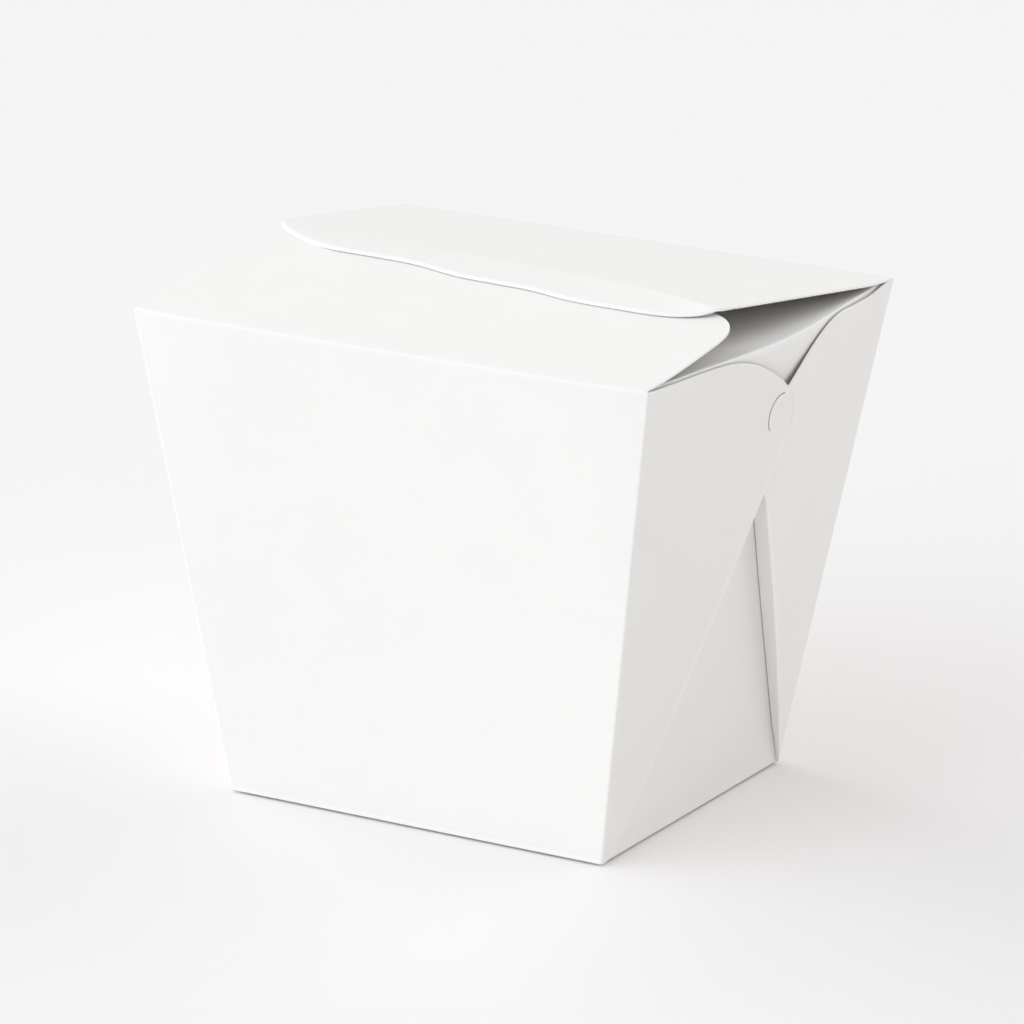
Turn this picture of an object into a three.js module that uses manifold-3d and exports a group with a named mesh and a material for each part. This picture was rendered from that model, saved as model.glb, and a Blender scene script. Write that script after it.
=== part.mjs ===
// Noodle takeaway box: a plain folded paperboard pail, shut, standing on its base.
// Millimetres, +Z up, +X to the box's right, the front panel faces -Y.
// The origin is the middle of the base, on the surface the box stands on.
import * as THREE from 'three';
import { mergeVertices } from 'three/addons/utils/BufferGeometryUtils.js';
import Module from 'manifold-3d';

// ---------------------------------------------------------------- driving dimensions
const BASE_W = 81.4;         // base, across the front
const BASE_D = 74.1;         // base, front to back
const TOP_W = 110.2;         // mouth at the lid folds, across the front
const TOP_D = 102.5;         // mouth at the lid folds, front to back
const FOLD_H = 98;           // height of the lid folds above the base
const BOARD = 0.5;           // thickness of the paperboard
const CORNER_R = 0.8;        // rounding of the upright corner folds
const FRONT_BOW = 2.3;       // the front panel swells this far at its top edge, evenly between its corners
const BACK_BOW = 0.4;        // and the back panel
const SIDE_BOW = 3.0;        // and each side panel, most at its middle

const CREASE_LEAN = 28.05;   // degrees a gusset's crease leans from the side panel's upright
const CREASE_LEN = 79.2;     // up the slope of the side panel, to where the rounded tip starts
const TIP_R = 7.3;           // rounding of a gusset's tip
const CREASE_OFF = 0.22;     // a gusset's crease stands off the side panel by this at its foot,
const CREASE_RISE = 3.5;     // rising by up to this much more
const CREASE_RUN = 26;       // over about this length

const FLAP_W = 56;           // half the width of the front lid flap
const FLAP_SLOPE = 0.14;     // rise of the front flap from its fold
const FLAP_END_L = -5;       // y of its free edge, under the back flap: at the left
const FLAP_END_R = -12;      // and at the right
const FLAP_R = 12;           // its rounded corners
const LID_W = 54;            // half the width of the back lid flap at its fold
const LID_WIDE = 56;         // its widest place at the right, a little way from the fold
const LID_END_L = 55.4;      // half the width at its free end, to the left
const LID_END_R = 51.0;      // and to the right
const LID_SLOPE_L = 0.122;   // rise of the back flap from its fold, at the left
const LID_SLOPE_R = 0.105;   // and at the right
const CORNER_L = [22, 17];   // its rounded corners, across and deep: left
const CORNER_RT = [15, 8];   // and right
const EDGE_Y = -11.3;        // y of its free edge at the left
const EDGE_SLANT = -0.02;    // the edge runs nearer the front to the right
const STEPS = [[-11, 6, 3.1], [15.5, 5, 2.3]]; // its two soft steps towards the front: at x, length, depth
const RIDGE_Y = -0.4;        // y of the crease across the back flap
const RIDGE_SAG = 0.0055;    // the crease curves towards the front on the right
const DUST_SLOPE = 0.29;     // the side flap dips inward under the lid by this much
const POCKET_IN = 24;        // the space under the lid reaches in to this |x|

// ---------------------------------------------------------------- small helpers
const wasm = await Module();
wasm.setup();
const deg = Math.PI / 180;
const lerp = (a, b, t) => a + (b - a) * t;
const smooth = (a, b, x) => { const t = Math.min(1, Math.max(0, (x - a) / (b - a))); return t * t * (3 - 2 * t); };
const softMin = (a, b, k) => { const h = Math.max(k - Math.abs(a - b), 0) / k; return Math.min(a, b) - h * h * k / 4; };

// A closed solid from a list of triangles given as three points each.
function solidFrom(tris) {
  const pos = [];
  for (const t of tris) for (const p of t) pos.push(p.x, p.y, p.z);
  const g = new THREE.BufferGeometry();
  g.setAttribute('position', new THREE.Float32BufferAttribute(pos, 3));
  const m = mergeVertices(g, 1e-4);
  const src = m.index.array, keep = [];
  for (let i = 0; i < src.length; i += 3) {
    const [a, b, c] = [src[i], src[i + 1], src[i + 2]];
    if (a !== b && b !== c && c !== a) keep.push(a, b, c);
  }
  return new wasm.Manifold(new wasm.Mesh({
    numProp: 3, vertProperties: new Float32Array(m.attributes.position.array), triVerts: new Uint32Array(keep),
  }));
}

// A closed slab over a grid of places: top(i, j) and low(i, j) are points, and
// seen from the top side, i runs to the right and j runs away.
function slab(ni, nj, top, low) {
  const T = [], L = [], tris = [];
  for (let i = 0; i <= ni; i++) { T.push([]); L.push([]); for (let j = 0; j <= nj; j++) { T[i].push(top(i, j)); L[i].push(low(i, j)); } }
  const quad = (a, b, c, d) => tris.push([a, b, c], [a, c, d]);
  for (let i = 0; i < ni; i++) for (let j = 0; j < nj; j++) {
    quad(T[i][j], T[i + 1][j], T[i + 1][j + 1], T[i][j + 1]);
    quad(L[i][j], L[i][j + 1], L[i + 1][j + 1], L[i + 1][j]);
  }
  for (let i = 0; i < ni; i++) {
    quad(L[i][0], L[i + 1][0], T[i + 1][0], T[i][0]);
    quad(L[i + 1][nj], L[i][nj], T[i][nj], T[i + 1][nj]);
  }
  for (let j = 0; j < nj; j++) {
    quad(L[0][j + 1], L[0][j], T[0][j], T[0][j + 1]);
    quad(L[ni][j], L[ni][j + 1], T[ni][j + 1], T[ni][j]);
  }
  return solidFrom(tris);
}

// ---------------------------------------------------------------- the pail's body
// A tapering tub: at each height a rectangle with rounded corners and sides that swell towards the top.
const halfW = z => lerp(BASE_W, TOP_W, z / FOLD_H) / 2;
const halfD = z => lerp(BASE_D, TOP_D, z / FOLD_H) / 2;
const swellWide = (z, t) => (z / FOLD_H) ** 2.5 * (1 - t ** 6);
const dome = t => Math.exp(-((1.63 * t) ** 2)) * (1 - t ** 8);
const swellRound = (z, t) => (z / FOLD_H) ** 3 * dome(t);

function ringAt(z) {
  const hw = halfW(z), hd = halfD(z), r = CORNER_R, out = [];
  const SIDE_SEGS = 10, ARC_SEGS = 3;
  const sides = [
    { len: hw - r, at: (s, o) => [s, -hd - o], bow: t => FRONT_BOW * swellWide(z, t) },
    { len: hd - r, at: (s, o) => [hw + o, s], bow: t => SIDE_BOW * swellRound(z, t) },
    { len: hw - r, at: (s, o) => [-s, hd + o], bow: t => BACK_BOW * swellWide(z, t) },
    { len: hd - r, at: (s, o) => [-hw - o, -s], bow: t => SIDE_BOW * swellRound(z, t) },
  ];
  sides.forEach((side, k) => {
    for (let i = 0; i <= SIDE_SEGS; i++) {
      const t = Math.sin((-1 + 2 * i / SIDE_SEGS) * Math.PI / 2 * 0.9) / Math.sin(Math.PI / 2 * 0.9);
      const [x, y] = side.at(t * side.len, side.bow(t));
      out.push(new THREE.Vector3(x, y, z));
    }
    const a0 = -90 + 90 * k;
    const cx = [1, 1, -1, -1][k] * (hw - r), cy = [-1, 1, 1, -1][k] * (hd - r);
    for (let i = 1; i < ARC_SEGS; i++) {
      const a = (a0 + 90 * i / ARC_SEGS) * deg;
      out.push(new THREE.Vector3(cx + r * Math.cos(a), cy + r * Math.sin(a), z));
    }
  });
  return out;
}

function tub() {
  const LEVELS = 8, rings = [], tris = [];
  for (let k = 0; k <= LEVELS; k++) rings.push(ringAt(FOLD_H * k / LEVELS));
  const n = rings[0].length;
  for (let k = 0; k < LEVELS; k++) for (let i = 0; i < n; i++) {
    const j = (i + 1) % n, a = rings[k][i], b = rings[k][j], c = rings[k + 1][j], d = rings[k + 1][i];
    tris.push([a, b, c], [a, c, d]);
  }
  const low = new THREE.Vector3(0, 0, 0), high = new THREE.Vector3(0, 0, FOLD_H);
  for (let i = 0; i < n; i++) {
    const j = (i + 1) % n;
    tris.push([low, rings[0][j], rings[0][i]], [high, rings[LEVELS][i], rings[LEVELS][j]]);
  }
  return solidFrom(tris);
}

// ---------------------------------------------------------------- the gusset wings on each side
// Places on a side are (y, v, off): along the side, up its slope, and out from its plane.
const LEAN = (TOP_W - BASE_W) / 2;
const SLOPE_LEN = Math.hypot(LEAN, FOLD_H);
const cornerTan = (TOP_D - BASE_D) / 2 / SLOPE_LEN;
function onSide(sx, y, v, off) {
  return new THREE.Vector3(sx * (BASE_W / 2 + v * LEAN / SLOPE_LEN + off * FOLD_H / SLOPE_LEN), y,
    v * FOLD_H / SLOPE_LEN - off * LEAN / SLOPE_LEN);
}

// The outline of a wing, from the top corner along its curved top edge and round its tip to its crease.
// Written for the front wing (y negative at the corner); the back wing is its mirror.
function wingOutline() {
  const foot = [-BASE_D / 2 + CORNER_R, 0.6];
  const t = Math.tan(CREASE_LEAN * deg), c = Math.cos(CREASE_LEAN * deg), s = Math.sin(CREASE_LEAN * deg);
  const p1 = [foot[0] + CREASE_LEN * t, CREASE_LEN];
  const mid = [p1[0] - TIP_R * c, p1[1] + TIP_R * s];
  const arcTop = 70, arcLow = -CREASE_LEAN, pts = [];
  const p0 = [mid[0] + TIP_R * Math.cos(arcTop * deg), mid[1] + TIP_R * Math.sin(arcTop * deg)];
  const top = [-TOP_D / 2 + CORNER_R, SLOPE_LEN - 0.3];
  const curve = new THREE.CubicBezierCurve(
    new THREE.Vector2(...top), new THREE.Vector2(top[0] + 25, SLOPE_LEN + 0.1),
    new THREE.Vector2(p0[0] - 14, p0[1] + 7.2), new THREE.Vector2(...p0));
  for (const p of curve.getPoints(12)) pts.push([p.x, p.y]);
  for (let i = 1; i <= 7; i++) {
    const a = lerp(arcTop, arcLow, i / 7) * deg;
    pts.push([mid[0] + TIP_R * Math.cos(a), mid[1] + TIP_R * Math.sin(a)]);
  }
  return { foot, pts };
}

// A wing is flat from its corner out to its crease. The front one lies on the back one's tip,
// and both lie on the side panel where it swells. y is negative at the wing's own corner.
const cornerDist = (y, v) => (y + BASE_D / 2 + v * cornerTan) / Math.hypot(1, cornerTan);
const creaseY = v => -BASE_D / 2 + CORNER_R + v * Math.tan(CREASE_LEAN * deg);
const creaseOff = v => CREASE_OFF + CREASE_RISE * (1 - Math.exp(-v / CREASE_RUN));
const flatLift = (y, v) => creaseOff(v) * cornerDist(y, v) / Math.max(1, cornerDist(creaseY(v), v));

function wingLift(front, y, v) {
  let lift = flatLift(y, v);
  if (!front) lift = softMin(lift, flatLift(-y, v) - BOARD, 0.4);
  const z = v * FOLD_H / SLOPE_LEN, side = SIDE_BOW * swellRound(z, Math.min(1, Math.abs(y) / halfD(z)));
  return Math.max(lift, v > 30 ? side + BOARD : 0);
}

function wing(sx, front) {
  const { foot, pts } = wingOutline(), NR = 5, last = pts.length - 1, sy = front ? 1 : -1;
  const flip = sx * sy < 0;
  const at = (i, j) => { const q = pts[flip ? last - i : i], f = j / NR; return [lerp(foot[0], q[0], f), lerp(foot[1], q[1], f)]; };
  return slab(last, NR,
    (i, j) => { const [y, v] = at(i, j); return onSide(sx, sy * y, v, Math.max(0.05, wingLift(front, y, v))); },
    (i, j) => { const [y, v] = at(i, j); return onSide(sx, sy * y, v, -1.0); });
}

// ---------------------------------------------------------------- the lid
const sideFold = y => TOP_W / 2 + SIDE_BOW * dome(Math.min(1, Math.abs(2 * y / TOP_D)));
const frontFold = x => -TOP_D / 2 - FRONT_BOW * Math.max(0, 1 - (2 * x / TOP_W) ** 6);
const flapZ = (x, y) => FOLD_H + FLAP_SLOPE * (y + TOP_D / 2);
const lidSlope = x => lerp(LID_SLOPE_L, LID_SLOPE_R, smooth(-LID_W, LID_W, x));
const ridgeY = x => RIDGE_Y - RIDGE_SAG * Math.max(0, x) ** 2;
const edgeLine = x => STEPS.reduce((y, [at, len, deep]) => y - deep * (1 + Math.tanh((x - at) / len)) / 2,
  EDGE_Y + EDGE_SLANT * (x + 34));
const edgeY = x => {
  const [across, deep] = x < 0 ? CORNER_L : CORNER_RT;
  const past = (Math.abs(x) - (x < 0 ? LID_END_L : LID_END_R) + across) / across;
  return edgeLine(x) + (past > 0 ? deep * (1 - Math.sqrt(Math.max(0, 1 - past * past))) : 0);
};
// The back flap's top face: it climbs to its crease, then settles onto the front flap.
const lidZ = (x, y) => {
  const climb = FOLD_H + lidSlope(x) * (TOP_D / 2 - y);
  const ry = ridgeY(x);
  if (y >= ry) return climb;
  const zr = FOLD_H + lidSlope(x) * (TOP_D / 2 - ry), ye = edgeLine(x);
  const t = Math.min(1, (ry - y) / Math.max(1, ry - ye));
  return lerp(zr, flapZ(x, ye) + BOARD, t);
};

// Where it runs in beneath the back flap, the front flap stays below it.
const underLid = (x, y) => Math.min(flapZ(x, y), y > edgeLine(x) ? lidZ(x, y) - BOARD / 2 : FOLD_H + 20);

const flapEnd = x => lerp(FLAP_END_L, FLAP_END_R, smooth(-36, 30, x));

function frontFlap(zLow) {
  const NX = 20, NY = 10;
  const at = (i, j) => {
    const t = Math.sin(j / NY * Math.PI / 2);
    const u = -1 + 2 * i / NX;
    const yEnd = flapEnd(u * FLAP_W), past = t * (yEnd + TOP_D / 2) - (yEnd - FLAP_R + TOP_D / 2);
    const w = past > 0 ? FLAP_W - FLAP_R + Math.sqrt(Math.max(0, FLAP_R ** 2 - past ** 2)) : lerp(TOP_W / 2 - 0.6, FLAP_W, smooth(0, 0.4, t));
    const x = u * w, y = lerp(frontFold(x), yEnd, t);
    return [x, y];
  };
  return slab(NX, NY, (i, j) => { const [x, y] = at(i, j); return new THREE.Vector3(x, y, underLid(x, y)); },
    (i, j) => { const [x, y] = at(i, j); return new THREE.Vector3(x, y, zLow(x, y)); });
}

function backFlap(zLow) {
  const NX = 28, NY = 12;
  const at = (i, j) => {
    const u = Math.sin((-1 + 2 * i / NX) * Math.PI / 2 * 0.96) / Math.sin(Math.PI / 2 * 0.96);
    const end = u < 0 ? LID_END_L : LID_END_R, t = 1 - j / NY;
    const y = lerp(TOP_D / 2, edgeY(u * end), t), open = Math.min(1, Math.max(0, (TOP_D / 2 - 1 - y) / 11));
    const wide = u < 0 ? lerp(LID_W, LID_END_L, smooth(50, 12, y))
      : LID_W + (LID_WIDE - LID_W) * Math.sqrt(open) - (LID_WIDE - LID_END_R) / 49.5 * Math.max(0, 39 - y);
    return [u * wide, y];
  };
  return slab(NX, NY, (i, j) => { const [x, y] = at(i, j); return new THREE.Vector3(x, y, lidZ(x, y)); },
    (i, j) => { const [x, y] = at(i, j); return new THREE.Vector3(x, y, zLow(x, y)); });
}

// The space under the lid at one side: over the dipping side flap and under the lid flaps.
function pocket(sx) {
  const NX = 8, NY = 24, yIn = TOP_D / 2 - 1.2;
  const x = i => sx * (i === NX ? 70 : lerp(POCKET_IN, TOP_W / 2 + SIDE_BOW + 1, i / (NX - 1)));
  const at = (i, j) => [x(sx > 0 ? i : NX - i), lerp(-yIn, yIn, j / NY)];
  const under = (px, y) => (y < ridgeY(px) - 1 ? Math.min(flapZ(px, y), lidZ(px, y)) : lidZ(px, y)) - BOARD;
  const dust = (px, y) => FOLD_H - DUST_SLOPE * Math.max(0, sideFold(y) - Math.abs(px));
  const above = slab(NX, NY, (i, j) => new THREE.Vector3(...at(i, j), FOLD_H + 20),
    (i, j) => { const p = at(i, j); return new THREE.Vector3(...p, dust(...p)); });
  const below = slab(NX, NY, (i, j) => { const p = at(i, j); return new THREE.Vector3(...p, under(...p)); },
    (i, j) => new THREE.Vector3(...at(i, j), FOLD_H - 40));
  return above.intersect(below);
}

// ---------------------------------------------------------------- the whole box, one piece
let box = tub();
for (const sx of [1, -1]) for (const front of [true, false]) box = box.add(wing(sx, front));
box = box.add(frontFlap(() => FOLD_H - 1.5)).add(backFlap(() => FOLD_H - 1.5));
for (const sx of [1, -1]) box = box.subtract(pocket(sx));

const out = box.getMesh();
const geometry = new THREE.BufferGeometry();
geometry.setAttribute('position', new THREE.Float32BufferAttribute(out.vertProperties, 3));
geometry.setIndex(new THREE.BufferAttribute(new Uint32Array(out.triVerts), 1));
geometry.computeVertexNormals();

const board = new THREE.MeshStandardMaterial({ color: 0xf4f4f2, roughness: 0.62, metalness: 0 });
const noodleBox = new THREE.Mesh(geometry, board);
noodleBox.name = 'noodle_box';

const group = new THREE.Group();
group.add(noodleBox);
export default group;
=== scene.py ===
import math

import bpy
import numpy as np
from mathutils import Matrix, Vector


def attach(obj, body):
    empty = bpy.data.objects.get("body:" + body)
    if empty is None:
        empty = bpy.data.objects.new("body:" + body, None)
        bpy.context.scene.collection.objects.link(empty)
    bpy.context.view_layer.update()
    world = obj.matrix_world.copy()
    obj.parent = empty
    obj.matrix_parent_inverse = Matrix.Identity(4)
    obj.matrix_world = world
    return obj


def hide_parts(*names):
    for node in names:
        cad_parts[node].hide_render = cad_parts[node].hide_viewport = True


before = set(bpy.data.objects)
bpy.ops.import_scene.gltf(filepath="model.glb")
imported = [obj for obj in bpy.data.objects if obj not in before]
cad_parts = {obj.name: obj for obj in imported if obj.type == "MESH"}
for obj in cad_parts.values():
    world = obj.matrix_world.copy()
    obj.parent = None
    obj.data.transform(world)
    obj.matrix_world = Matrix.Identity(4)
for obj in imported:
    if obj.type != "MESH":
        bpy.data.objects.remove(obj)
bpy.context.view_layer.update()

# ------------------------------------------------------------------ sizes, in mm
H = 98.0                     # height of the lid folds
BX, BY = 40.7, 37.05         # half the base, across and deep
TX, TY = 55.1, 51.25         # half the mouth at the lid folds
T = 0.45                     # board thickness
LX, LY = TX - BX, TY - BY
SL, SF = math.hypot(LX, H), math.hypot(LY, H)
CSX, SNX = H / SL, LX / SL   # lean of the side panels
CSY, SNY = H / SF, LY / SF   # lean of the front and back panels

CORNER_T = 0.42              # tangent length of the upright corner folds
FOLD_T = 0.6                 # and of the front and back lid folds
SIDE_T = 0.42                # and of the side folds
BASE_T = 0.28                # and of the folds round the base
BASE_UP = 0.42               # the base sags: its edges stand this far off the table
Z_LOW = BASE_UP + BASE_T
Z_TOP = H - FOLD_T

FRONT_BOW, BACK_BOW = 1.0, 0.45
SIDE_IN, SIDE_BOW = (0.10, 0.50), 3.4    # side panel behind the wings at its foot and higher up; its bow


def lerp(a, b, t):
    return a + (b - a) * t


def smooth(a, b, x):
    t = np.clip((x - a) / (b - a), 0.0, 1.0)
    return t * t * (3 - 2 * t)


def soft_min(a, b, k):
    h = np.maximum(k - np.abs(a - b), 0.0) / k
    return np.minimum(a, b) - h * h * k * 0.25


def soft_max(a, b, k):
    return -soft_min(-a, -b, k)


def eased(n, ends=0.96):
    """n + 1 places from -1 to 1, closer together near the ends."""
    t = np.linspace(-1, 1, n + 1)
    return np.sin(t * math.pi / 2 * ends) / math.sin(math.pi / 2 * ends)


def bend(p0, p1, p2, n):
    """A round fold from p0 to p2 about the corner p1: n - 1 points between them."""
    a, b = p0 - p1, p2 - p1
    la = np.linalg.norm(a, axis=-1, keepdims=True)
    lb = np.linalg.norm(b, axis=-1, keepdims=True)
    c = np.sum(a * b, axis=-1, keepdims=True) / np.maximum(la * lb, 1e-9)
    w = np.sqrt(np.clip((1 - c) / 2, 0.05, 1.0))
    out = []
    for i in range(1, n):
        t = i / n
        b0, b1, b2 = (1 - t) ** 2, 2 * t * (1 - t) * w, t * t
        out.append((b0 * p0 + b1 * p1 + b2 * p2) / (b0 + b1 + b2))
    return out


# ------------------------------------------------------------------ the gusset wings
# Places on a side are (y, v, off): along the side with the wing's own corner at negative y,
# up the slope of the side, and out from its plane.
V_LOW, V_EDGE = Z_LOW / CSX, 98.44
CREASE_Y0, CREASE_TAN = -36.23, 0.5325
TIP_R = 7.3


def corner_y(v):
    return -(BY + v * LY / SL)


def top_edge(kind, y):
    if kind == "over":
        base = V_EDGE + 0.22 * (1 - smooth(-52, -47.5, y)) - 0.12 * smooth(-32, -25, y)
        return base - 0.0115 * np.maximum(0.0, y + 26.2) ** 2
    u = y + 18.0
    base = V_EDGE - 0.82 + 0.95 * (1 - smooth(-50, -38, y)) + 0.16 * smooth(-38, -31, y) + 0.56 * smooth(-32, -24, y)
    return base + 0.45 - 0.37 * (u + np.sqrt(u * u + 20.0))


def wing_outline(kind, n_top=26, n_tip=9):
    """From the top corner along the curved top edge and round the tip to the crease."""
    beta = math.atan(CREASE_TAN)

    def tip(ya):
        slope = float(top_edge(kind, ya + 0.01) - top_edge(kind, ya - 0.01)) / 0.02
        al = math.atan(-slope)
        va = float(top_edge(kind, ya))
        return al, ya - TIP_R * math.sin(al), va - TIP_R * math.cos(al)

    def miss(ya):
        al, cy, cv = tip(ya)
        ey, ev = cy + TIP_R * math.cos(beta), cv - TIP_R * math.sin(beta)
        return ey - (CREASE_Y0 + CREASE_TAN * ev)

    lo, hi = -10.0, 12.0
    for _ in range(60):
        mid = (lo + hi) / 2
        if miss(mid) < 0:
            lo = mid
        else:
            hi = mid
    ya = (lo + hi) / 2
    al, cy, cv = tip(ya)
    y0 = corner_y(V_EDGE) + CORNER_T
    ys = y0 + (ya - y0) * np.linspace(0, 1, n_top + 1) ** 0.9
    pts = [(y, float(top_edge(kind, y))) for y in ys]
    for i in range(1, n_tip + 1):
        a = lerp(math.pi / 2 - al, -beta, i / n_tip)
        pts.append((cy + TIP_R * math.cos(a), cv + TIP_R * math.sin(a)))
    return np.array(pts)


OUTLINES = {k: wing_outline(k) for k in ("over", "under")}
OUTLINE = OUTLINES["over"]
NJ = len(OUTLINE) - 1
FOOT_W = CREASE_Y0 + CREASE_TAN * V_LOW - corner_y(V_LOW) - CORNER_T
FOOT = np.stack([corner_y(V_LOW) + CORNER_T + FOOT_W * np.linspace(0, 1, NJ + 1),
                 np.full(NJ + 1, V_LOW)], axis=1)
_ANG = np.arctan2(OUTLINE[:, 1] - FOOT[:, 1], OUTLINE[:, 0] - FOOT[0, 0])
_RAD = np.hypot(OUTLINE[:, 1] - FOOT[:, 1], OUTLINE[:, 0] - FOOT[0, 0])


def crease_off(v):
    """How far the wing's crease stands off the side's plane."""
    return 0.1 + 0.55 * (1 - np.exp(-v / 1.5)) + 3.12 * (1 - np.exp(-v / 34.0))


def fold_dist(y, v):
    return (y - corner_y(v)) / math.hypot(1, LY / SL)


def wing_lift(y, v):
    """The wing's outer face where nothing presses on it: flat out from its corner to its crease."""
    ang = np.arctan2(v - V_LOW, y - FOOT[0, 0])
    rad = np.hypot(v - V_LOW, y - FOOT[0, 0])
    f = np.clip(rad / np.interp(-ang, -_ANG, _RAD), 0.0, 1.1)
    cy = lerp(FOOT[-1, 0], OUTLINE[-1, 0], f)
    cv = lerp(FOOT[-1, 1], OUTLINE[-1, 1], f)
    d = np.maximum(fold_dist(y, v), 0.0)
    return crease_off(cv) * d / np.maximum(fold_dist(cy, cv), 0.5)


def side_off(y, v):
    """The side panel's own outer face."""
    t = np.abs(y) / (BY + v * LY / SL)
    dome = np.exp(-(t * 1.63) ** 2) * np.maximum(0.0, 1 - t ** 8)
    inset = lerp(SIDE_IN[0], SIDE_IN[1], smooth(0, 12, v)) + 0.3 * smooth(0.75, 0.95, t) * smooth(10, 40, v)
    return -inset + SIDE_BOW * np.clip(v / SL, 0, 1) ** 5 * dome


LAP_GAP = 0.16              # between the two wings where one laps the other
SIDE_GAP = 0.30             # between a wing and the side panel behind it


def lift_of(kind, y, v):
    nat = wing_lift(y, v)
    other = wing_lift(-y, v)
    high = smooth(65.6, 68.8, v)
    if kind == "over":
        lap = soft_min(nat, other + T + LAP_GAP, 0.4)
    else:
        lap = soft_min(nat, other - T - LAP_GAP, 0.4)
    off = lerp(nat, lap, high)
    floor = side_off(y, v) + T + SIDE_GAP
    return soft_max(off, np.where(v > 30, floor, -9.0), 0.3)


def side_point(y, v, off):
    """Local place on the right-hand side: X out to the right, Y towards the wing's own panel."""
    return np.stack([BX + v * SNX + off * CSX, -y, v * CSX - off * SNX], axis=-1)


# ------------------------------------------------------------------ the lid flaps
EDGE_Y = -11.3


def ridge_y(x):
    return -0.4 - 0.0055 * np.maximum(0.0, x) ** 2


def edge_line(x):
    s1 = 0.5 * (1 + np.tanh((x + 11.0) / 6.0))
    s2 = 0.5 * (1 + np.tanh((x - 15.5) / 5.0))
    return EDGE_Y - 0.02 * (x + 34) - 3.1 * s1 - 2.3 * s2


END_L, END_R = 56.0, 51.0


def edge_y(x):
    """The back flap's wavy free edge with its two different rounded corners."""
    base = edge_line(x)
    dl = np.clip((-x - (END_L - 22.0)) / 22.0, 0, 1)
    dr = np.clip((x - (END_R - 15.0)) / 15.0, 0, 1)
    left = 17.6 * (1 - np.maximum(0, 1 - dl ** 1.6) ** 0.625)
    right = 8.0 * (1 - np.sqrt(np.maximum(0, 1 - dr ** 2)))
    return base + left + right


def back_slope(x):
    return lerp(0.122, 0.105, smooth(-TX, TX, x))


FRONT_SLOPE = 0.14


def front_hinge(x):
    return TY + FRONT_BOW * np.maximum(0.0, 1 - np.abs(x / TX) ** 6) * CSY


def front_flap_h(x, y):
    return FRONT_SLOPE * (y + front_hinge(x)) - 0.3 * np.maximum(0.0, 1 - np.abs(x / TX) ** 6)


def back_flap_h(x, y):
    """The back flap's top face: it climbs to its crease, then settles on to the front flap."""
    s = back_slope(x)
    yr, ye = ridge_y(x), edge_line(x)
    hr = s * (TY + 0.3 - yr)
    gap = lerp(0.58, 0.46, smooth(-50, 30, x))
    he = front_flap_h(x, ye) + T + gap
    climb = s * (TY + 0.3 - y)
    strip = lerp(hr, he, (yr - y) / np.maximum(1.0, yr - ye))
    k = lerp(0.5, 0.12, smooth(-40, -8, x))
    return soft_min(climb, strip, k)


def front_end(x):
    """The front flap's free edge, mostly under the back flap."""
    base = lerp(-1.0, -12.0, smooth(-40, 20, x))
    dl = np.clip((-x - 34.0) / 20.9, 0, 1)
    dr = np.clip((x - 45.0) / 10.7, 0, 1)
    p = 2.2
    left = 31.0 * (1 - np.sqrt(1 - dl ** 2))
    right = 13.3 * (1 - (1 - dr ** p) ** (1 / p))
    return base - left - right


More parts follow.
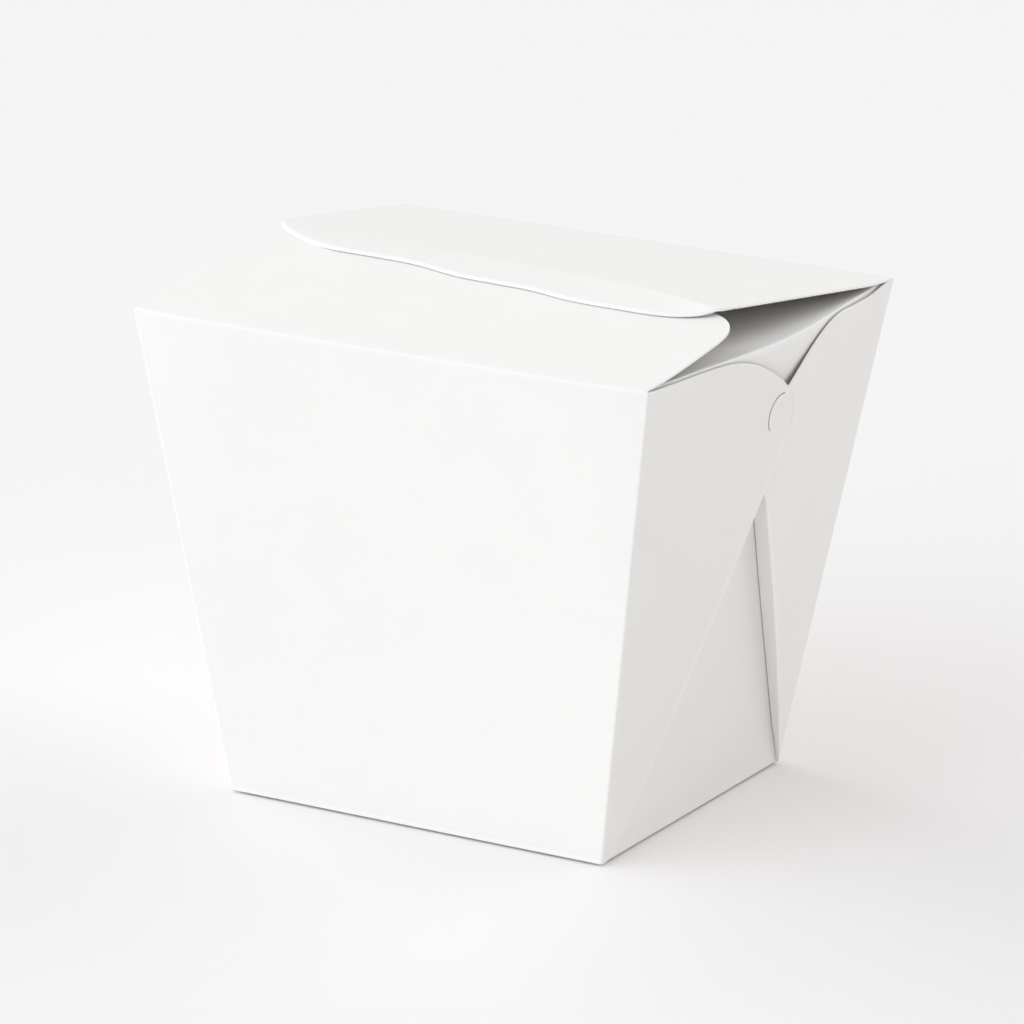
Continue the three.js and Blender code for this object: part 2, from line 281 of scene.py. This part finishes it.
# ------------------------------------------------------------------ sheets of board
class Sheet:
    """An open sheet given by its outer face, later given the board's thickness."""

    def __init__(self):
        self.pts, self.faces, self.fold_highlight_and_wear = [], [], []

    def grid(self, P, keep=None, fold_highlight_and_wear=None):
        """P[r][c] are points; seen from outside, rows run up and columns run right."""
        P = np.asarray(P, float)
        R, C = P.shape[:2]
        base = len(self.pts)
        self.pts.extend(P.reshape(-1, 3))
        self.fold_highlight_and_wear.extend((np.zeros((R, C)) if fold_highlight_and_wear is None else fold_highlight_and_wear).reshape(-1))
        for r in range(R - 1):
            for c in range(C - 1):
                if keep is not None and not keep[r, c]:
                    continue
                q = [base + r * C + c, base + r * C + c + 1, base + (r + 1) * C + c + 1, base + (r + 1) * C + c]
                self.faces.append(q)

    def welded(self, eps=0.004):
        pts = np.array(self.pts)
        key = np.round(pts / eps).astype(np.int64)
        _, first, inverse = np.unique(key, axis=0, return_index=True, return_inverse=True)
        inverse = inverse.reshape(-1)
        fold_highlight_and_wear = np.array(self.fold_highlight_and_wear)[first]
        faces = []
        for q in self.faces:
            m = [int(inverse[i]) for i in q]
            out = [m[i] for i in range(len(m)) if m[i] != m[i - 1]]
            if len(set(out)) >= 3 and len(set(out)) == len(out):
                faces.append(out)
        used = sorted({i for q in faces for i in q})
        remap = {o: n for n, o in enumerate(used)}
        faces = [[remap[i] for i in q] for q in faces]
        return pts[first][used], faces, fold_highlight_and_wear[used]

    def thick(self, t=T, b=0.11):
        """Outer face, inner face and cut edges: points, faces, material numbers, and the mask of painted highlight
        (partly rubbed board) along folds and edges.
        """
        P, faces, fold_highlight_and_wear = self.welded()
        N = np.zeros_like(P)
        for q in faces:
            for i in range(1, len(q) - 1):
                a, c, d = P[q[0]], P[q[i]], P[q[i + 1]]
                n = np.cross(c - a, d - a)
                for k in (q[0], q[i], q[i + 1]):
                    N[k] += n
        N /= np.maximum(np.linalg.norm(N, axis=1, keepdims=True), 1e-12)
        n = len(P)
        inner = P - N * t
        out_faces = [list(q) for q in faces] + [[i + n for i in reversed(q)] for q in faces]
        mats = [0] * (2 * len(faces))
        seen = {}
        for q in faces:
            for i in range(len(q)):
                seen[(q[i], q[(i + 1) % len(q)])] = True
        rim = [(a, c) for (a, c) in seen if (c, a) not in seen]
        M = np.zeros_like(P)
        for a, c in rim:
            m = np.cross(P[c] - P[a], N[a] + N[c])
            M[a] += m
            M[c] += m
        ring = sorted({i for e in rim for i in e})
        M[ring] /= np.maximum(np.linalg.norm(M[ring], axis=1, keepdims=True), 1e-12)
        at = {i: k for k, i in enumerate(ring)}
        mid1 = P[ring] + M[ring] * b - N[ring] * b
        mid2 = P[ring] + M[ring] * b - N[ring] * (t - b)
        o1, o2 = 2 * n, 2 * n + len(ring)
        # each cut edge: the upper chamfer and cut face take the cut material, the lower chamfer takes the dark
        # material, a painted shade line standing in for the shadow under the edge
        for a, c in rim:
            a1, c1, a2, c2 = o1 + at[a], o1 + at[c], o2 + at[a], o2 + at[c]
            out_faces += [[c, a, a1, c1], [c1, a1, a2, c2], [c2, a2, a + n, c + n]]
            mats += [1, 1, 2]
        pts = np.vstack([P, inner, mid1, mid2])
        highlight_and_wear = np.concatenate([fold_highlight_and_wear, fold_highlight_and_wear * 0.6, np.zeros(2 * len(ring))])
        return pts, out_faces, mats, highlight_and_wear


NR = 64                      # rows up a panel and its wings
NC = 64                      # columns across a panel
F = np.linspace(0, 1, NR + 1)
F = lerp(F, smooth(0, 1, F), 0.35)
F = np.insert(F, NR, 0.9958)
NR += 1
U = eased(NC)


def wing_columns(kind):
    """Right-hand corner fold, wing and spine: a list of columns of points, from the panel outwards."""
    z = lerp(Z_LOW, Z_TOP, F)
    v = z / CSX
    cols = []
    # wing, fan-shaped from its foot
    W = []
    edge_ = OUTLINES[kind]
    for j in range(NJ + 1):
        chord = lerp(edge_[0], edge_[-1], j / NJ)
        out = smooth(0.5, 1.0, F)
        y = lerp(FOOT[j, 0], lerp(chord[0], edge_[j, 0], out), F)
        vv = lerp(FOOT[j, 1], lerp(chord[1], edge_[j, 1], out), F)
        W.append((y, vv))
    yJ, vJ = W[-1]
    off_c = lift_of(kind, yJ, vJ)
    under = 0.2 + 0.009 * vJ
    y_in = yJ - under
    off_in = side_off(y_in, vJ) + 0.02 + 0.2 * smooth(0, 8, vJ)
    if kind == "over":
        on_lap = lift_of("under", -yJ, vJ) + 0.03
        up = smooth(66.3, 68.6, vJ)
        off_in = lerp(off_in, on_lap, up)
        y_in = lerp(y_in, yJ, up)
    tall = np.maximum(off_c - off_in, 0.08)
    r = np.minimum(0.28, 0.42 * tall)
    y0 = W[0][0]
    tight = (yJ - r - y0) / (yJ - y0)
    W = [(y0 + (y - y0) * tight, vv) for y, vv in W]
    wing = []
    for j, (y, vv) in enumerate(W):
        off = np.maximum(lift_of(kind, y, vv), 0.0)
        if kind == "over":
            off[-1] += 0.15 * float(smooth(24, 28, j))    # the die leaves a slight burr round the tip
        wing.append(side_point(y, vv, off))
    # the board stands up a little along its crease
    yb, vb = W[-1]
    step = np.minimum(np.minimum(0.40, 0.8 * F), 0.7 * np.hypot(W[-1][0] - W[-3][0], W[-1][1] - W[-3][1]))
    bead = 0.32 * step * (1 - 0.5 * smooth(75, 79, vb))
    before = yb - step
    wing[-2] = side_point(before, vb, np.maximum(lift_of(kind, before, vb), 0.0))
    wing[-1] = side_point(yb, vb, np.maximum(lift_of(kind, yb, vb), 0.0) + bead)
    # corner fold, between the panel's last column and the wing's first
    X = BX + z * LX / H
    Y = BY + z * LY / H
    p0 = np.stack([X - CORNER_T, Y, z], axis=-1)
    p2 = wing[0]
    zc = (z + p2[:, 2]) / 2
    corner = np.stack([BX + zc * LX / H, BY + zc * LY / H, zc], axis=-1)
    cols.append(p0)
    cols += bend(p0, corner, p2, 6)
    cols += wing
    # spine
    off_w = lift_of(kind, yJ - r, vJ)
    tilt = (off_c - off_w)
    c0 = side_point(yJ - r, vJ, off_w + bead)
    c1 = side_point(yJ, vJ, off_w + tilt + bead)
    dn = r / tall
    c2 = side_point(lerp(yJ, y_in, dn), vJ, off_w + tilt - r)
    cols += bend(c0, c1, c2, 7)
    for s in (0.0, 0.34, 0.67, 1.0):
        k = dn + (1 - dn) * s
        cols.append(side_point(lerp(yJ, y_in, k), vJ, lerp(off_c, off_in, k)))
    # how much each column is painted paler: a little painted highlight on the corner fold, full painted highlight on
    # the crease
    col_highlight_and_wear = np.zeros(len(cols))
    col_highlight_and_wear[:7] = 0.25
    col_highlight_and_wear[5 + NJ] = 0.6
    col_highlight_and_wear[6 + NJ:5 + NJ + 5] = 1.0
    return cols, col_highlight_and_wear


def base_z(x, y):
    """The base's underside: flat on the table in the middle, lifting towards its edges."""
    rx = smooth(0.45, 1.0, np.abs(x) / (BX - CORNER_T))
    ry = smooth(0.45, 1.0, np.abs(y) / (BY - BASE_T))
    return BASE_UP * (1 - (1 - rx) * (1 - ry))


def panel_half(s, kind, bow, flap_point):
    """One panel with its lid flap, corner folds and wings, and half of the base. Local: X right, Y out."""
    z = lerp(Z_LOW, Z_TOP, F)
    uu, zz = np.meshgrid(U, z)
    hw = BX + zz * LX / H - CORNER_T
    off = bow * (1 - np.abs(uu) ** 6) * (zz / H) ** 2.5
    panel = np.stack([uu * hw, BY + zz * LY / H + off * CSY, zz - off * SNY], axis=-1)
    # bottom fold and half the base
    X0 = U * (BX - CORNER_T)
    low_y = BY + BASE_UP * LY / H
    edge = np.stack([X0, np.full_like(U, low_y), np.full_like(U, BASE_UP)], axis=-1)
    flat = np.stack([X0, np.full_like(U, low_y - BASE_T), base_z(X0, low_y - BASE_T)], axis=-1)
    low = [flat] + bend(flat, edge, panel[0], 5)
    base = [np.stack([X0, np.full_like(U, t * (low_y - BASE_T)), base_z(X0, t * (low_y - BASE_T))], axis=-1)
            for t in np.sin(np.linspace(0, 1, 16)[:-1] * math.pi / 2)]
    # lid fold and flap
    Yh, Zh = TY + bow * (1 - np.abs(U) ** 6) * CSY, H - bow * (1 - np.abs(U) ** 6) * SNY
    hinge = np.stack([U * (TX - CORNER_T), Yh, Zh], axis=-1)
    flap = flap_point(U, Yh, Zh)
    start = flap[0]
    top = bend(panel[-1], hinge, start, 7)
    rows = base + low + list(panel) + top + list(flap)
    n_base = len(base) + len(low)
    P = np.array(rows)
    R, C = P.shape[:2]
    wc, wing_highlight_and_wear = wing_columns(kind)
    nw = len(wc)
    full = np.zeros((R, C + 2 * (nw - 1), 3))
    keep = np.zeros((R - 1, C + 2 * (nw - 1) - 1), bool)
    fold_highlight_and_wear = np.zeros((R, C + 2 * (nw - 1)))
    full[:, nw - 1:nw - 1 + C] = P
    keep[:, nw - 1:nw - 1 + C - 1] = True
    r0, r1 = n_base, n_base + NR + 1
    for i in range(1, nw):
        right = wc[i]
        left = right * np.array([-1, 1, 1])
        full[r0:r1, nw - 1 + C - 1 + i] = right
        full[r0:r1, nw - 1 - i] = left
        fold_highlight_and_wear[r0:r1, nw - 1 + C - 1 + i] = wing_highlight_and_wear[i]
        fold_highlight_and_wear[r0:r1, nw - 1 - i] = wing_highlight_and_wear[i]
    keep[r0:r1 - 1, :] = True
    # painted highlight: the lid fold a little, the base fold fully and the back flap's free edge partly are painted
    # paler
    fold_highlight_and_wear[r1 - 1:r1 + 7, nw - 1:nw - 1 + C] = 0.1
    fold_highlight_and_wear[n_base - 5:n_base + 1, nw - 1:nw - 1 + C] = 1.0
    fold_highlight_and_wear[-4:, nw - 1:nw - 1 + C] = 0.6 if kind == "under" else 0.0
    full = full * np.array([-s, s, 1.0])
    return full, keep, fold_highlight_and_wear


def front_flap_points(U_, Yh, Zh):
    """Rows of points from just past the fold to the free edge. Local X = x, local Y = -y."""
    xe = np.where(U_ < 0, 54.9, 55.7) * U_
    ye = front_end(xe)
    c = 1 / math.hypot(1, FRONT_SLOPE)
    q0 = FOLD_T * c
    t = np.linspace(0, 1, 41)
    t = lerp(t, np.sin(t * math.pi / 2), 0.35)
    rows = []
    for k in t:
        y = lerp(-Yh + q0, ye, k)
        q = y + Yh
        w = np.where(U_ < 0, 54.5 + 0.4 * (1 - np.exp(-(q - q0) / 6.5)), 54.5 + 1.2 * (1 - np.exp(-(q - q0) / 8.0)))
        x = U_ * w
        h = Zh - H + FRONT_SLOPE * q
        lid = back_flap_h(x, y) - T - 0.08
        beneath = smooth(0.0, 2.5, y - edge_line(x))
        h = lerp(h, soft_min(h, lid, 0.3), beneath)
        rows.append(np.stack([x, -y, H + h], axis=-1))
    return rows


def back_flap_points(U_, Yh, Zh):
    """The same for the back flap. Local X = -x, local Y = y."""
    s = -U_
    xe = np.where(s < 0, END_L, END_R) * s
    ye = edge_y(xe)
    start = Yh - FOLD_T
    yr = soft_max(ridge_y(xe), ye + 2.2, 1.0)
    rows = []
    za = np.linspace(0, 1, 25)[:-1]
    za = lerp(za, 1 - np.cos(za * math.pi / 2), -0.25)
    ys = [lerp(start, yr + 1.0, k) for k in za]
    ys += [lerp(yr + 1.0, yr - 1.0, k) for k in np.linspace(0, 1, 11)[:-1]]
    ys += [lerp(yr - 1.0, ye, k) for k in np.sin(np.linspace(0, 1, 17) * math.pi / 2)]
    for y in ys:
        wl = 54.2 + 1.8 * (1 - np.clip((y - 7.0) / 43.0, 0, 1) ** 2)
        wr = np.where(y > 39, 54.7 + 1.3 * np.sqrt(np.clip((50.0 - y) / 11.0, 0, 1)),
                      56.0 - 0.101 * (39 - np.maximum(y, -10.5)))
        x = s * np.where(s < 0, wl, wr)
        h = back_flap_h(x, y)
        d = np.hypot(y - ye, 0.0)
        curl = lerp(0.38, 0.26, smooth(-45, 25, x))
        h = h - curl * np.clip(1 - d / 1.2, 0, 1) ** 2
        near = smooth(0, 4, start - y)
        h = lerp(Zh - H + back_slope(x) * (Yh - y), h, near)
        rows.append(np.stack([-x, y, H + h], axis=-1))
    return rows


def side_sheet(sx):
    """A side panel with its dipping flap under the lid."""
    NW = 56
    Wn = eased(NW, 0.9)
    vb, vt = (BASE_UP + BASE_T) / CSX, SL - SIDE_T
    v = lerp(vb, vt, np.linspace(0, 1, 53) ** 0.9)
    rows = []

    def reach_at(vv):
        return BY + vv * LY / SL - lerp(0.5, 0.9, smooth(0, 8, vv))

    def place(w, vv, off):
        hd = reach_at(vv)
        return np.stack([BX + vv * SNX + off * CSX, w * hd, vv * CSX - off * SNX], axis=-1)

    def off_at(w, vv):
        return side_off(w * reach_at(vv), np.full_like(w, vv))

    panel = [place(Wn, k, off_at(Wn, k)) for k in v]
    hdl = reach_at(vb)
    low_x = BX + BASE_UP * SNX
    edge = np.stack([np.full_like(Wn, low_x - SIDE_IN[0] * CSX), Wn * hdl, np.full_like(Wn, BASE_UP)], axis=-1)
    flat = np.stack([np.full_like(Wn, BX - CORNER_T - 0.02), Wn * hdl, np.full_like(Wn, BASE_UP)], axis=-1)
    low = [flat] + bend(flat, edge, panel[0], 5)
    hinge = place(Wn, SL, off_at(Wn, SL))
    long = 45.0
    flap = []
    for k in np.linspace(0, 1, 31) ** 1.2:
        q = lerp(SIDE_T, long, k)
        taper = lerp(1.0, 0.955, smooth(0, 1, q / 12)) - 0.05 * q / long
        dy = hinge[:, 1] * taper
        # rounded free corners
        half = hinge[-1, 1] * taper
        corner = np.clip((np.abs(dy) - (half - 9)) / 9, 0, 1)
        reach = q - (q / long) ** 3 * 9 * (1 - np.sqrt(np.maximum(0, 1 - corner ** 2)))
        drop = 0.9 * (1 - np.exp(-reach / 3.6)) + 0.06 * reach
        flap.append(np.stack([hinge[:, 0] - 0.99 * reach, dy, hinge[:, 2] - drop], axis=-1))
    top = bend(panel[-1], hinge, flap[0], 6)
    P = np.array(low + panel + top + flap)
    # painted highlight: the base fold and the top fold are painted paler
    fold_highlight_and_wear = np.zeros(P.shape[:2])
    n0 = len(low)
    fold_highlight_and_wear[:n0 + 1] = 1.0
    fold_highlight_and_wear[n0 + len(panel) - 1:n0 + len(panel) + 7] = 1.0
    P = P * np.array([sx, sx, 1.0])
    return P, fold_highlight_and_wear


def foot_nub(X, Y):
    """The bunched board at the point of a gusset, just inside the corner fold."""
    n, r = 16, CORNER_T * 0.93
    rows = []
    for k, (rr, z) in enumerate([(0.0, BASE_UP), (r - 0.22, BASE_UP), (r - 0.1, BASE_UP + 0.04), (r - 0.02, BASE_UP + 0.14), (r, BASE_UP + 0.3), (r, 4.0), (0.0, 4.0)]):
        lean = z / H
        cx, cy = BX - CORNER_T + lean * LX, BY - CORNER_T + lean * LY
        a = np.linspace(0, 2 * math.pi, n + 1)
        rows.append(np.stack([X * (cx + rr * np.cos(a)), Y * (cy + rr * np.sin(a)), np.full(n + 1, z)], axis=-1))
    return np.array(rows), X * Y > 0


def slit(sx):
    """The locking slit die-cut in the front wing's tip: a C whose tongue stands up a little."""
    a = np.radians(np.linspace(68, 252, 47))
    rise = smooth(math.radians(68), math.radians(86), a) * (1 - smooth(math.radians(205), math.radians(252), a))
    cy, cv, rad = 0.65, 83.65, 3.95
    rows = []
    for dr, h in ((0.32, -0.03), (0.28, 0.02), (0.02, 0.02), (0.0, 0.22), (-0.10, 0.25), (-0.65, 0.03), (-0.80, -0.03)):
        y, v = cy + (rad + dr * rise) * np.cos(a), cv + (rad + dr * rise) * np.sin(a)
        off = lift_of("over", y, v) + (h * rise - 0.03 * (1 - rise) if h > 0 else h)
        p = side_point(y, v, off)
        rows.append(p * np.array([sx, -1, 1]))
    return np.array(rows)


# ------------------------------------------------------------------ one mesh from all the sheets
POINTS, FACES, MATS, HIGHLIGHT_AND_WEAR = [], [], [], []


def add(pts, faces, mats, highlight_and_wear):
    base = sum(len(p) for p in POINTS)
    POINTS.append(np.asarray(pts, float))
    FACES.extend([[i + base for i in q] for q in faces])
    MATS.extend(mats)
    HIGHLIGHT_AND_WEAR.append(np.asarray(highlight_and_wear, float))


wrap = Sheet()
for s_, kind_, bow_, flap_ in ((-1, "over", FRONT_BOW, front_flap_points), (1, "under", BACK_BOW, back_flap_points)):
    P_, keep_, sheet_highlight_and_wear = panel_half(s_, kind_, bow_, flap_)
    wrap.grid(P_, keep_, sheet_highlight_and_wear)
add(*wrap.thick())
for sx_ in (1, -1):
    side = Sheet()
    P_, sheet_highlight_and_wear = side_sheet(sx_)
    side.grid(P_, None, sheet_highlight_and_wear)
    add(*side.thick())
for cx_ in (1, -1):
    for cy_ in (1, -1):
        nub = Sheet()
        P_, keepdir = foot_nub(cx_, cy_)
        if not keepdir:
            P_ = P_[:, ::-1]
        nub.grid(P_)
        pts_, faces_, sheet_highlight_and_wear = nub.welded()
        add(pts_, faces_, [0] * len(faces_), np.zeros(len(pts_)))


for sx_ in (1, -1):
    lip = Sheet()
    P_ = slit(sx_)
    lip.grid(P_[:, ::-1] if sx_ > 0 else P_)
    n_ = P_.shape[1] - 1
    # the strip at the bottom of the cut takes the dark material, painted shade in the slit; the whole lip is also
    # painted paler, painted highlight
    slit_shade_mats = [(0, 2, 1, 0, 0, 0)[k // n_] for k in range(len(lip.faces))]
    add(lip.pts, lip.faces, slit_shade_mats, np.ones(len(lip.pts)))


def node(tree, kind, **kw):
    n = tree.nodes.new(kind)
    for k, val in kw.items():
        if k == "inputs":
            for name, x in val.items():
                n.inputs[name].default_value = x
        else:
            setattr(n, k, val)
    return n


def board_material(name, base, rough, cut):
    m = bpy.data.materials.new(name)
    m.use_nodes = True
    t = m.node_tree
    t.nodes.clear()
    out = node(t, "ShaderNodeOutputMaterial")
    bsdf = node(t, "ShaderNodeBsdfPrincipled")
    t.links.new(bsdf.outputs["BSDF"], out.inputs["Surface"])
    bsdf.inputs["IOR"].default_value = 1.45
    bsdf.inputs["Specular IOR Level"].default_value = 0.35
    pos = node(t, "ShaderNodeTexCoord")
    # soft cloudy mottling of the fibres
    big = node(t, "ShaderNodeTexNoise", inputs={"Scale": 55.0, "Detail": 5.0, "Roughness": 0.55})
    fine = node(t, "ShaderNodeTexNoise", inputs={"Scale": 1400.0, "Detail": 4.0, "Roughness": 0.6})
    t.links.new(pos.outputs["Object"], big.inputs["Vector"])
    t.links.new(pos.outputs["Object"], fine.inputs["Vector"])
    ramp = node(t, "ShaderNodeMapRange", inputs={"From Min": 0.3, "From Max": 0.7, "To Min": 0.0, "To Max": 1.0})
    t.links.new(big.outputs["Fac"], ramp.inputs["Value"])
    mix = node(t, "ShaderNodeMix", data_type="RGBA")
    lo = tuple(c * (0.985 if not cut else 0.97) for c in base)
    mix.inputs["A"].default_value = (*lo, 1)
    mix.inputs["B"].default_value = (*base, 1)
    t.links.new(ramp.outputs["Result"], mix.inputs["Factor"])
    # painted highlight: the board is painted paler along the folds, creases and some free edges, standing in for the
    # light they catch; partly also rubbed, whitened board at the creases
    fold_highlight_and_wear = node(t, "ShaderNodeAttribute", attribute_name="fold_highlight_and_wear")
    mul = node(t, "ShaderNodeMath", operation="MULTIPLY", inputs={1: 0.9})
    t.links.new(fold_highlight_and_wear.outputs["Fac"], mul.inputs[0])
    pale_fold_mix = node(t, "ShaderNodeMix", data_type="RGBA")
    pale_fold_mix.inputs["B"].default_value = (*(min(0.995, c * 1.09) for c in base), 1)
    t.links.new(mul.outputs["Value"], pale_fold_mix.inputs["Factor"])
    t.links.new(mix.outputs["Result"], pale_fold_mix.inputs["A"])
    t.links.new(pale_fold_mix.outputs["Result"], bsdf.inputs["Base Color"])
    rr = node(t, "ShaderNodeMapRange", inputs={"From Min": 0.25, "From Max": 0.75, "To Min": rough - 0.05, "To Max": rough + 0.05})
    t.links.new(fine.outputs["Fac"], rr.inputs["Value"])
    t.links.new(rr.outputs["Result"], bsdf.inputs["Roughness"])
    # fibre relief, finer than the geometry
    bump = node(t, "ShaderNodeBump", inputs={"Strength": 0.10 if not cut else 0.3, "Distance": 0.00003})
    t.links.new(fine.outputs["Fac"], bump.inputs["Height"])
    t.links.new(bump.outputs["Normal"], bsdf.inputs["Normal"])
    return m


FACE = board_material("board_face", (0.940, 0.924, 0.906), 0.55, False)
CUT = board_material("board_cut", (0.985, 0.975, 0.962), 0.8, True)
# painted shade: a dark material for the slit's gap and the lower chamfer of every cut edge, standing in for the shadow
# in the cut and under the edges
PAINTED_SHADE = board_material("board_painted_shade", (0.30, 0.28, 0.25), 0.9, True)

pts = np.vstack(POINTS) * 0.001
mesh = bpy.data.meshes.new("carton_board")
mesh.from_pydata(pts.tolist(), [], FACES)
mesh.materials.append(FACE)
mesh.materials.append(CUT)
mesh.materials.append(PAINTED_SHADE)
mesh.polygons.foreach_set("material_index", np.array(MATS, np.int32))
mesh.polygons.foreach_set("use_smooth", np.ones(len(MATS), bool))
att = mesh.attributes.new("fold_highlight_and_wear", "FLOAT", "POINT")
att.data.foreach_set("value", np.concatenate(HIGHLIGHT_AND_WEAR).astype(np.float32))
mesh.update()
mesh.set_sharp_from_angle(angle=math.radians(42))
carton = bpy.data.objects.new("carton_board", mesh)
bpy.context.scene.collection.objects.link(carton)
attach(carton, "root")
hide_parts("noodle_box")

# ------------------------------------------------------------------ floor, light, camera
fm = bpy.data.materials.new("studio_floor")
fm.use_nodes = True
fb = fm.node_tree.nodes["Principled BSDF"]
fb.inputs["Base Color"].default_value = (0.925, 0.905, 0.899, 1)
fb.inputs["Roughness"].default_value = 0.9
fb.inputs["Specular IOR Level"].default_value = 0.1
fme = bpy.data.meshes.new("floor")
fme.from_pydata([(-6, -6, 0), (6, -6, 0), (6, 6, 0), (-6, 6, 0)], [], [(0, 1, 2, 3)])
fme.materials.append(fm)
floor = bpy.data.objects.new("floor", fme)
bpy.context.scene.collection.objects.link(floor)

world = bpy.data.worlds.new("studio")
bpy.context.scene.world = world
world.use_nodes = True
bg = world.node_tree.nodes["Background"]
bg.inputs["Color"].default_value = (1.0, 1.0, 1.0, 1)
bg.inputs["Strength"].default_value = 0.355

# wide soft boxes: bearing from the front, anticlockwise seen from above, height, and their light
for name_, bearing, height, light in (
        ("box_front", 0, 52, (0.574, 0.608, 0.631)),
        ("box_front_left", 330, 20, (1.006, 1.054, 1.095)),
        ("box_left", 270, 20, (1.366, 1.372, 1.383)),
        ("box_back_left", 225, 30, (0.267, 0.261, 0.266)),
        ("box_back", 150, 20, (0.672, 0.679, 0.677)),
        ("box_back_right", 120, 50, (0.463, 0.453, 0.437))):
    power = max(light)
    tint = tuple(c / power for c in light)
    sun = bpy.data.lights.new(name_, "SUN")
    sun.energy = power
    sun.color = tint
    sun.angle = math.radians(60)
    lamp = bpy.data.objects.new(name_, sun)
    bpy.context.scene.collection.objects.link(lamp)
    az_, el_ = math.radians(bearing), math.radians(height)
    to_light = Vector((math.sin(az_) * math.cos(el_), -math.cos(az_) * math.cos(el_), math.sin(el_)))
    lamp.rotation_euler = to_light.to_track_quat("Z", "Y").to_euler()

cam = bpy.data.cameras.new("view")
cam.sensor_fit = "HORIZONTAL"
cam.sensor_width = 36.0
cam.lens = 6383.8 / 1024 * 36.0
cam.clip_start, cam.clip_end = 0.05, 30.0
eye = bpy.data.objects.new("view", cam)
bpy.context.scene.collection.objects.link(eye)
yaw, pitch, roll = (math.radians(a) for a in (28.592, 16.127, 1.3615))
back = np.array([math.sin(yaw) * math.cos(pitch), -math.cos(yaw) * math.cos(pitch), math.sin(pitch)])
right = np.cross([0, 0, 1], back)
right /= np.linalg.norm(right)
up = np.cross(back, right)
c_, s_ = math.cos(roll), math.sin(roll)
axes = np.array([c_ * right + s_ * up, -s_ * right + c_ * up, back])
mat = np.eye(4)
mat[:3, :3] = axes.T
mat[:3, 3] = np.array([567.98, -1042.91, 397.49]) * 0.001
eye.matrix_world = Matrix(mat.tolist())
bpy.context.scene.camera = eye
bpy.context.scene.view_settings.view_transform = "Standard"
